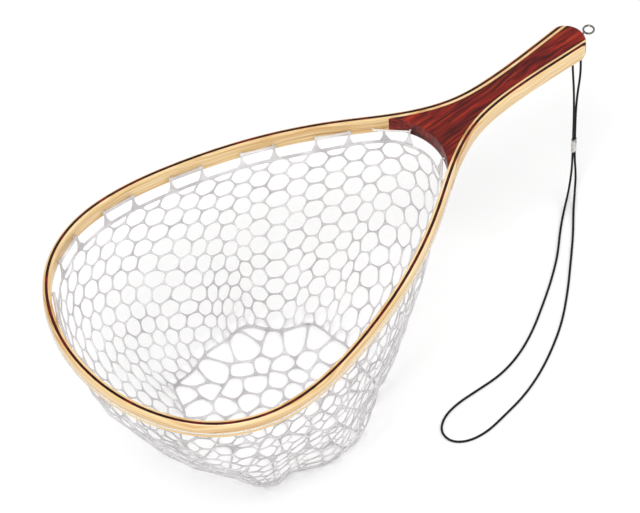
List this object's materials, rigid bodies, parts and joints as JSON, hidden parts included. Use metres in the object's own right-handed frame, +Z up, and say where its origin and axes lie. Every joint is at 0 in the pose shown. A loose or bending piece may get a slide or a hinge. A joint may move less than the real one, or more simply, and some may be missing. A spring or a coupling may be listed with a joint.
{
  "type": "landing net",
  "caption": "Hand landing net: laminated wooden hoop and handle, deep bag of clear rubber mesh laced inside the hoop, eye in the butt and a wrist lanyard.",
  "frame": {"origin": "on the floor under the flat bottom of the bag, midway along the net from the hoop's tip to the end of the butt eye", "axes": "+X along the handle from the hoop to the butt, +Z up out of the mouth of the bag, Y = 0 the plane of symmetry of the frame"},
  "size_m": [0.6103, 0.3092, 0.228],
  "materials": {
    "ash_strip": "clear gloss varnish over bent ash",
    "accent_wood": "clear gloss varnish over a dark red-brown strip",
    "red_hardwood": "clear gloss varnish over figured red hardwood",
    "plated_wire": "bright nickel plate",
    "clear_cord": "translucent white cord",
    "clear_rubber": "translucent moulded rubber",
    "black_elastic": "braided black elastic cord",
    "ferrule_metal": "satin"
  },
  "bodies": {
    "net": {"outer_strip": "ash_strip", "accent_strip": "accent_wood", "inner_strip": "ash_strip", "handle_core": "red_hardwood", "butt_screw_eye": "plated_wire", "lanyard_screw_eye": "plated_wire", "lacing_cord": "clear_cord", "net_bag": "clear_rubber"},
    "lanyard": {"lanyard_cord": "black_elastic", "crimp_sleeve": "ferrule_metal"}
  },
  "joints": [
    {"name": "lanyard_swing", "type": "hinge", "parent": "net", "child": "lanyard", "pos_m": [0.2837, 0, 0.199], "axis": [0, 0, 1], "range_deg": [-10, 45]}
  ]
}
